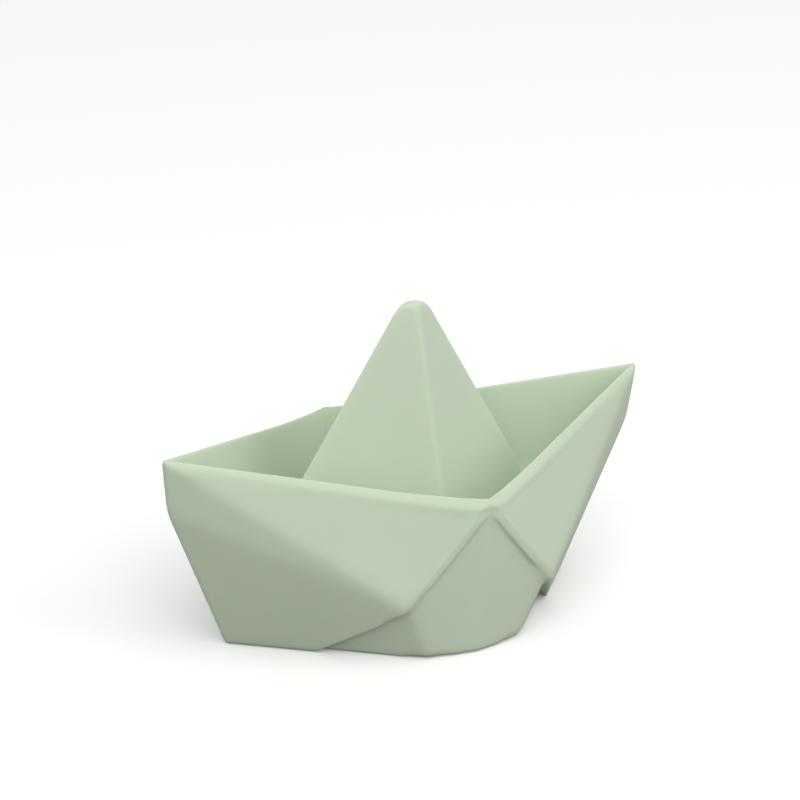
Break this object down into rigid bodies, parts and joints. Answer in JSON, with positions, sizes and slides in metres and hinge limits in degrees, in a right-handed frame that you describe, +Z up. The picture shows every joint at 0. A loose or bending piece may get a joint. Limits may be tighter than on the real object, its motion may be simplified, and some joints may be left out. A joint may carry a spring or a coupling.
{
  "type": "toy sailboat",
  "caption": "Toy sailboat in the form of a folded paper boat, moulded in soft rubber: pointed ends, open hull with side flaps, and a pyramid sail",
  "frame": {"origin": "middle of the flat bottom, on the surface that the boat stands on", "axes": "+X along the hull towards the bow, +Y across it to port, +Z up"},
  "size_m": [0.1546, 0.0798, 0.0873],
  "materials": {
    "rubber": "matte, smooth moulded natural rubber in pale green"
  },
  "bodies": {
    "root": {"boat": "rubber"}
  },
  "joints": []
}
